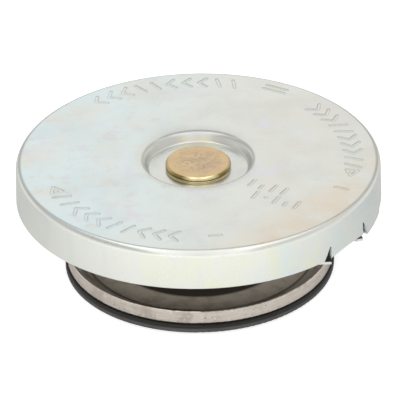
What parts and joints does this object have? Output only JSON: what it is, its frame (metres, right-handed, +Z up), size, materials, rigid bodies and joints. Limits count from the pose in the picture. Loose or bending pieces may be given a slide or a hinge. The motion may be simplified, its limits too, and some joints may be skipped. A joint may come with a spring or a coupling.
{
  "type": "radiator cap",
  "caption": "Round bayonet pressure cap for a radiator filler neck: zinc-plated shell with cam ears, brass centre rivet, sprung pressure valve and vacuum valve.",
  "frame": {"origin": "on the cap's axis, on the surface that it stands on, under the seal plate", "axes": "+Z up through the centre rivet; one cam ear is 37 degrees from +X towards -Y, the other opposite"},
  "size_m": [0.0806, 0.0806, 0.0271],
  "materials": {
    "zinc_plated_steel": "bright zinc plating over pressed steel, faint iridescent passivation, slightly mottled",
    "brass": "turned brass, polished edge, dull hammered face",
    "stainless_satin": "satin stainless steel with fine turning marks",
    "stainless_sheet": "bright rolled stainless sheet",
    "drawn_steel": "drawn and plated steel",
    "spring_steel": "oiled spring wire",
    "vacuum_brass": "turned brass",
    "black_rubber": "moulded nitrile rubber, matt"
  },
  "bodies": {
    "shell_body": {"cap_shell": "zinc_plated_steel"},
    "carrier_body": {"centre_rivet": "brass", "rivet_washer": "drawn_steel", "spring_disc": "stainless_sheet", "neck_seal": "black_rubber", "spring_seat": "drawn_steel", "guide_cup": "drawn_steel", "main_spring": "spring_steel"},
    "pressure_valve_body": {"valve_sleeve": "drawn_steel", "valve_cup": "stainless_satin", "main_seal": "black_rubber", "seal_plate": "stainless_sheet", "vacuum_spring": "spring_steel"},
    "vacuum_valve_body": {"vacuum_valve": "vacuum_brass", "vacuum_seal": "black_rubber", "spring_keeper": "stainless_sheet"}
  },
  "joints": [
    {"name": "cap_swivel", "type": "hinge", "parent": "shell_body", "child": "carrier_body", "pos_m": [0, 0, 0.0241], "axis": [0, 0, 1], "continuous": true},
    {"name": "pressure_valve_lift", "type": "slide", "parent": "carrier_body", "child": "pressure_valve_body", "axis": [0, 0, 1], "range_m": [0, 0.003], "stiffness_N_per_m": 6200, "deforming": ["main_spring"]},
    {"name": "vacuum_valve_drop", "type": "slide", "parent": "pressure_valve_body", "child": "vacuum_valve_body", "axis": [0, 0, -1], "range_m": [0, 0.0008], "stiffness_N_per_m": 300, "deforming": ["vacuum_spring"]}
  ]
}
